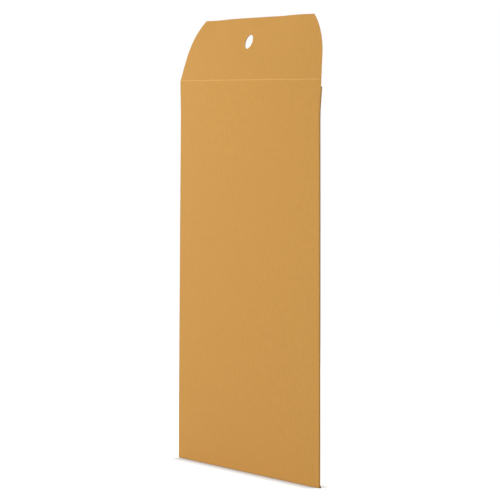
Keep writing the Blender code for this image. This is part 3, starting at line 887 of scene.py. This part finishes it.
# %% Shape of the bottom flap
FLAP_INSET = 3.0 * MM  # the sides step in by this much just above the fold
FLAP_INSET_RISE = 11.0 * MM  # over this height
FLAP_TAPER = 16.0 * MM  # and slant in by this much up to the top
FLAP_CORNER = 7.0 * MM
bottom_flap_y = bottom_high.y - PAPER / 2
quarter = BOTTOM_RADIUS * math.pi / 2
floor_width = bottom_flap_y - front_y - 2 * BOTTOM_RADIUS
floor_end = quarter + floor_width
round_end = 2 * quarter + floor_width


def bottom_half(z):
    """Half the bottom flap's width at a height."""
    half = panel_half - FLAP_INSET * smooth(z / FLAP_INSET_RISE) - FLAP_TAPER * z / bottom_flap_height
    into_corner = z - (bottom_flap_height - FLAP_CORNER)
    if into_corner > 0:
        half -= FLAP_CORNER - math.sqrt(max(0.0, FLAP_CORNER**2 - into_corner**2))
    return half


def bottom_shape(x, height):
    """Below the foot of the front the blank goes under the fold and then up the back."""
    down = FOOT - height
    if down <= quarter:
        turn = down / BOTTOM_RADIUS
        y = front_y + BOTTOM_RADIUS * (1 - math.cos(turn))
        z = FOOT - BOTTOM_RADIUS * math.sin(turn)
    elif down <= floor_end:
        y = front_y + BOTTOM_RADIUS + down - quarter
        z = PAPER / 2
    elif down <= round_end:
        turn = (down - floor_end) / BOTTOM_RADIUS
        y = bottom_flap_y - BOTTOM_RADIUS * (1 - math.sin(turn))
        z = FOOT - BOTTOM_RADIUS * math.cos(turn)
    else:
        y = bottom_flap_y
        z = FOOT + down - round_end
    return Vector((x, y, z))


print(f"bottom fold flat over {floor_width / MM:.2f} mm, flap {bottom_flap_height / MM:.1f} mm high")

# %% Fold the bottom flap
corner_start = round_end + bottom_flap_height - FLAP_CORNER - FOOT
flap_end = round_end + bottom_flap_height - FOOT
downs = stations(
    (0, quarter, floor_end, round_end, corner_start, flap_end),
    (quarter / 4, floor_width, quarter / 4, FINE, FLAP_CORNER / 14),
)
net = flat_grid(spread(-panel_half, panel_half, COARSE), [FOOT - down for down in reversed(downs)])
for corner in net.verts:
    past_fold = FOOT - corner.co.y - round_end
    if past_fold > 0:
        corner.co.x *= bottom_half(FOOT + past_fold) / panel_half
fold(net, bottom_shape)
bottom_sheet = thick_sheet(net, "bottom_flap_sheet", kraft)
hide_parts("bottom_flap")
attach(bottom_sheet, "pocket")

# %% [markdown]
# The gum is a thin dry film on the inner face of the flap, below its top edge. It could be painted
# on the paper's material, but a film has a thickness and an edge that catch the light. It is a
# sheet like the others, laid on the flap's own formula, and its lower edge wanders a little,
# because it is brushed on.

# %% Lay the gum band
GUM_FILM = 0.06 * MM
GUM_SIDE_MARGIN = 5.0 * MM
SEAT_GAP = 0.02 * MM  # a film or patch lies this close on its sheet
WANDER = 0.25 * MM  # the lower edge is uneven by this much either way
WANDER_SHORT = 7 * MM  # in two waves, each 2 pi times this long
WANDER_LONG = 17 * MM


def gum_shape(x, reach):
    """A point of the film on the flap's inner face."""
    return on_flap(x, reach, PAPER / 2 + SEAT_GAP + GUM_FILM / 2)


net = flat_grid(spread(-panel_half, panel_half, FINE), spread(gum_foot, gum_top, GUM_HEIGHT / 6))
for corner in net.verts:
    corner.co.x *= (flap_half(corner.co.y) - GUM_SIDE_MARGIN) / panel_half
    if corner.co.y < gum_foot + MM:
        waves = math.sin(corner.co.x / WANDER_SHORT) * math.sin(corner.co.x / WANDER_LONG)
        corner.co.y += WANDER * (1 + waves)
fold(net, gum_shape)
gum_band = thick_sheet(net, "gum_band", gum, GUM_FILM)
gum_band.data.materials[RIM_SLOT] = gum
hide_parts("seal_gum")

# %% [markdown]
# A patch of darker paper is glued to the inner face of the flap, so that the hole doesn't tear out.
# A decal could draw it, but it is a second layer that doubles the edge of the hole, so it is a
# sheet of its own with the same punched hole.

# %% Lay the patch round the hole
PATCH_WIDTH = 32.0 * MM
PATCH_CLEAR = 0.8 * MM
net = flat_grid(
    spread(-PATCH_WIDTH / 2, PATCH_WIDTH / 2, FINE),
    spread(hole_reach - PATCH_HEIGHT / 2, hole_reach + PATCH_HEIGHT / 2, FINE),
)
punch(net, Vector((0, hole_reach, 0)), PATCH_CLEAR)
fold(net, lambda x, reach: on_flap(x, reach, PAPER + SEAT_GAP))
eyelet = thick_sheet(net, "eyelet_patch_sheet", patch_paper)
shade_hole_rim(eyelet)
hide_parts("eyelet_patch")
for piece in (gum_band, eyelet):
    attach(piece, "flap")

# %% [markdown]
# Inside the pocket another patch covers the base of the clasp and holds it to the back. It lies flat
# over the metal and runs down to the panel all round. A cloth simulation could drape it, but a
# formula for its distance from the panel gives the same soft ramp and never cuts into the metal.

# %% Lay the patch over the clasp base
RAMP = 5.0 * MM  # the patch runs down to the panel over this width
SHELF = 1.2 * MM  # after lying level this far past the metal
base_low, base_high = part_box("clasp_base")
cover_low, cover_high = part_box("clasp_patch")
base_half_z = (base_high.z - base_low.z) / 2
cover_half_z = (cover_high.z - cover_low.z) / 2
cover_z = (cover_low.z + cover_high.z) / 2
rim_depth = PAPER + SEAT_GAP
middle_depth = on_back(0, cover_low.z).y - cover_low.y - PAPER / 2


def cover_shape(x, up):
    """A point of the patch, up from its middle."""
    past = max(abs(x) - base_high.x, abs(up) - base_half_z, 0.0)
    over = 1 - smooth((past - SHELF) / RAMP)
    return on_back(x, cover_z + up, -(rim_depth + (middle_depth - rim_depth) * over))


net = flat_grid(spread(-cover_high.x, cover_high.x, MM), spread(-cover_half_z, cover_half_z, MM))
fold(net, cover_shape)
cover = thick_sheet(net, "clasp_patch_sheet", patch_paper)
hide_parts("clasp_patch")
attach(cover, "pocket")

# %% [markdown]
# Each prong is a strip of soft tinned steel with a round tip, stamped out of the base. It could be a
# stretched cube, but its tip and its edges would be wrong. A circle with its lower half drawn down
# to the root gives the outline, extrude gives it the thickness of the metal, and a small bevel
# rounds the stamped edges so that they catch the light.

# %% Shape of a prong
PRONG_LENGTH = 10.5 * MM
PRONG_SIDES = 48  # of the circle that the strip is made from
STAMPED_EDGE = 0.07 * MM
NEARLY_ZERO = 1e-7


def prong_strip():
    """A flat strip that stands on its root, with the thickness of the metal and rounded edges."""
    net = bmesh.new()
    bmesh.ops.create_circle(net, segments=PRONG_SIDES, radius=PRONG_WIDTH / 2, cap_ends=True)
    for corner in net.verts:
        if corner.co.y > -NEARLY_ZERO:
            corner.co.y += PRONG_LENGTH - PRONG_WIDTH / 2
        else:
            corner.co.y = 0.0
    root_row = sorted((v for v in net.verts if v.co.y == 0), key=lambda v: v.co.x)
    bmesh.ops.dissolve_verts(net, verts=root_row[1:-1])
    bmesh.ops.translate(net, vec=(0, 0, -METAL / 2), verts=net.verts)
    made = bmesh.ops.extrude_face_region(net, geom=net.faces[:])
    raised = [item for item in made["geom"] if isinstance(item, bmesh.types.BMVert)]
    bmesh.ops.translate(net, vec=(0, 0, METAL), verts=raised)
    bmesh.ops.recalc_face_normals(net, faces=net.faces)
    rim = [edge for edge in net.edges if edge.is_manifold and edge.calc_face_angle() > SHARP]
    bmesh.ops.bevel(
        net, geom=rim, offset=STAMPED_EDGE, offset_type="OFFSET",
        affect="EDGES", segments=2, profile=0.5, material=-1,
    )
    return net


print(f"prongs {PRONG_LENGTH / MM:.1f} x {PRONG_WIDTH / MM:.1f} x {METAL / MM:.1f} mm")

# %% Stamp the two prongs
prong_axis = Vector(joints["left_prong_bend"]["axis"])
lie = Matrix(((0, 0, 1), (0, 1, 0), (-1, 0, 0)))  # the strip's width upright, its length backward
tilt = Matrix.Rotation(-math.atan2(prong_axis.y, prong_axis.z), 3, "X")  # square to the back there


def prong(name, root, node, body):
    """A prong on its root, in place of its CAD node."""
    net = prong_strip()
    bmesh.ops.transform(net, matrix=Matrix.Translation(root) @ (tilt @ lie).to_4x4(), verts=net.verts)
    bmesh.ops.recalc_face_normals(net, faces=net.faces)
    piece = finished(net, name, [steel])
    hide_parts(node)
    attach(piece, body)


prong("left_prong_tab", left_root, "left_prong", "left_clasp_prong")
prong("right_prong_tab", right_root, "right_prong", "right_clasp_prong")

# %% [markdown]
# The envelope stands on a plain white floor, one large square just under its bottom fold. It could
# be lit until it is white, but that much light would bleach the paper. So it shines by itself, but
# only to the camera and in mirrors, and bounced light meets a plain pale floor. Ambient occlusion
# darkens the line where paper and floor meet, and fades out towards the two ends of the fold.

# %% Floor finish
CONTACT_REACH = 14.0 * MM  # how far from the paper the floor is shaded
CONTACT_DEPTH = 1.9  # more than 1 makes the shade deeper
CONTACT_FADE = 5.0 * MM  # the shade dies away over this length at each end of the fold
FLOOR_GLOW = 0.86  # what the camera sees: this much of its own, and the light on a dim grey
FLOOR_DIM = (0.4, 0.4, 0.4, 1)
FLOOR_PALE = (0.85, 0.85, 0.85, 1)  # what bounced light meets
WHITE = (1, 1, 1, 1)


def seen_rays(tree):
    """1 for what the camera sees, directly or in metal and glass, and 0 for bounced light."""
    rays = add(tree, "ShaderNodeLightPath").outputs
    mirrored = maths(tree, "MAXIMUM", rays["Is Glossy Ray"], rays["Is Transmission Ray"])
    return maths(tree, "MAXIMUM", rays["Is Camera Ray"], mirrored)


white = bpy.data.materials.new("white_sweep")
white.use_nodes = True
tree = white.node_tree
tree.nodes.clear()
corners = add(tree, "ShaderNodeAmbientOcclusion", {"Distance": CONTACT_REACH}, samples=16).outputs["AO"]
place = add(tree, "ShaderNodeSeparateXYZ", {0: add(tree, "ShaderNodeTexCoord").outputs["Object"]})
from_end = maths(tree, "SUBTRACT", width / 2, maths(tree, "ABSOLUTE", place.outputs["X"]))
under = ramp(tree, from_end, 0.0, CONTACT_FADE, "SMOOTHSTEP")
contact = maths(tree, "POWER", corners, maths(tree, "MULTIPLY", under, CONTACT_DEPTH))
glow = {"Color": WHITE, "Strength": maths(tree, "MULTIPLY", contact, FLOOR_GLOW)}
shining = add(tree, "ShaderNodeEmission", glow).outputs[0]
lit = add(tree, "ShaderNodeBsdfDiffuse", {"Color": FLOOR_DIM}).outputs[0]
bright = add(tree, "ShaderNodeAddShader", {0: lit, 1: shining}).outputs[0]
plain = add(tree, "ShaderNodeBsdfDiffuse", {"Color": FLOOR_PALE}).outputs[0]
either = add(tree, "ShaderNodeMixShader", {0: seen_rays(tree), 1: plain, 2: bright}).outputs[0]
add(tree, "ShaderNodeOutputMaterial", {"Surface": either})
print(white.name, f"with a contact shade of {CONTACT_REACH / MM:.0f} mm")

# %% Floor
FLOOR_HALF = 4.0  # metres
FLOOR_DROP = 0.02 * MM
net = bmesh.new()
bmesh.ops.create_grid(net, x_segments=1, y_segments=1, size=FLOOR_HALF)
bmesh.ops.translate(net, vec=(0, 0, -FLOOR_DROP), verts=net.verts)
floor = finished(net, "floor", [white])

# %% [markdown]
# The room round the envelope is plain and white. A picture of a studio could light it, but its
# windows would show in the steel. The world is white to the camera and in mirrors, and as a light it
# is a weak even fill, so that the lamps can shape the paper.

# %% World
FILL = 0.38
world = bpy.data.worlds.new("plain_studio")
bpy.context.scene.world = world
world.use_nodes = True
tree = world.node_tree
tree.nodes.clear()
fill = add(tree, "ShaderNodeBackground", {"Color": WHITE, "Strength": FILL}).outputs[0]
backdrop = add(tree, "ShaderNodeBackground", {"Color": WHITE, "Strength": 1.0}).outputs[0]
either = add(tree, "ShaderNodeMixShader", {0: seen_rays(tree), 1: fill, 2: backdrop}).outputs[0]
add(tree, "ShaderNodeOutputWorld", {"Surface": either})
print("world fill", FILL)

# %% [markdown]
# Paper shows its bow by a slow change of light, so the lamps are large and soft. A single sun could
# light it, but its hard shadow would show on the floor. One lamp stands in front and one behind, and
# a broad one far to the left makes the front a little brighter on that side. The view transform is
# Standard, so a colour renders about as it is written.

# %% Lamps
AIM = Vector((0, 0, 0.2))


def soft_lamp(name, place, size, power):
    """A round soft lamp that looks at the envelope."""
    light = bpy.data.lights.new(name, "AREA")
    light.shape = "DISK"
    light.size = size
    light.energy = power
    lamp = placed(name, light)
    lamp.location = place
    lamp.rotation_euler = (AIM - place).to_track_quat("-Z", "Y").to_euler()
    lamp.visible_camera = False
    print(name, tuple(round(v, 2) for v in place), power, "W")


soft_lamp("front_lamp", Vector((-0.04, -1.0, 0.6)), 0.7, 4.55)
soft_lamp("back_lamp", Vector((-0.55, 1.0, 0.5)), 0.7, 8.4)
soft_lamp("left_panel", Vector((-2.4, -1.6, 0.85)), 1.6, 21.4)
bpy.context.scene.view_settings.view_transform = "Standard"

# %% [markdown]
# The punched hole is round, so how narrow it looks gives the viewing angle: the envelope is turned
# well away and its right edge is near. A short lens close by could frame it as well, but would make
# the near edge much taller than the far one. A long lens keeps the sides almost parallel.

# %% Camera
VIEW_TURN = math.radians(61.38)  # how far round to the right the camera stands
VIEW_DISTANCE = 2.263
VIEW_HEIGHT = 0.2713
PITCH = math.radians(2.484)
ROLL = math.radians(0.2)
YAW_TRIM = math.radians(-0.056)
LENS = 210.2
SENSOR = 36.0
side_edge_y = (front_y + back_y) / 2
to_right = VIEW_DISTANCE * math.sin(VIEW_TURN)
to_front = VIEW_DISTANCE * math.cos(VIEW_TURN)
place = Vector((to_right, side_edge_y - to_front, VIEW_HEIGHT))
level = Matrix.Rotation(math.pi / 2 - PITCH, 4, "X")
turn = Matrix.Rotation(VIEW_TURN + YAW_TRIM, 4, "Z") @ level @ Matrix.Rotation(ROLL, 4, "Z")

optics = bpy.data.cameras.new("photo_view")
optics.lens = LENS
optics.sensor_width = SENSOR
camera = placed("photo_view", optics)
camera.matrix_world = Matrix.Translation(place) @ turn
bpy.context.scene.camera = camera
print("camera at", tuple(round(v, 3) for v in place))
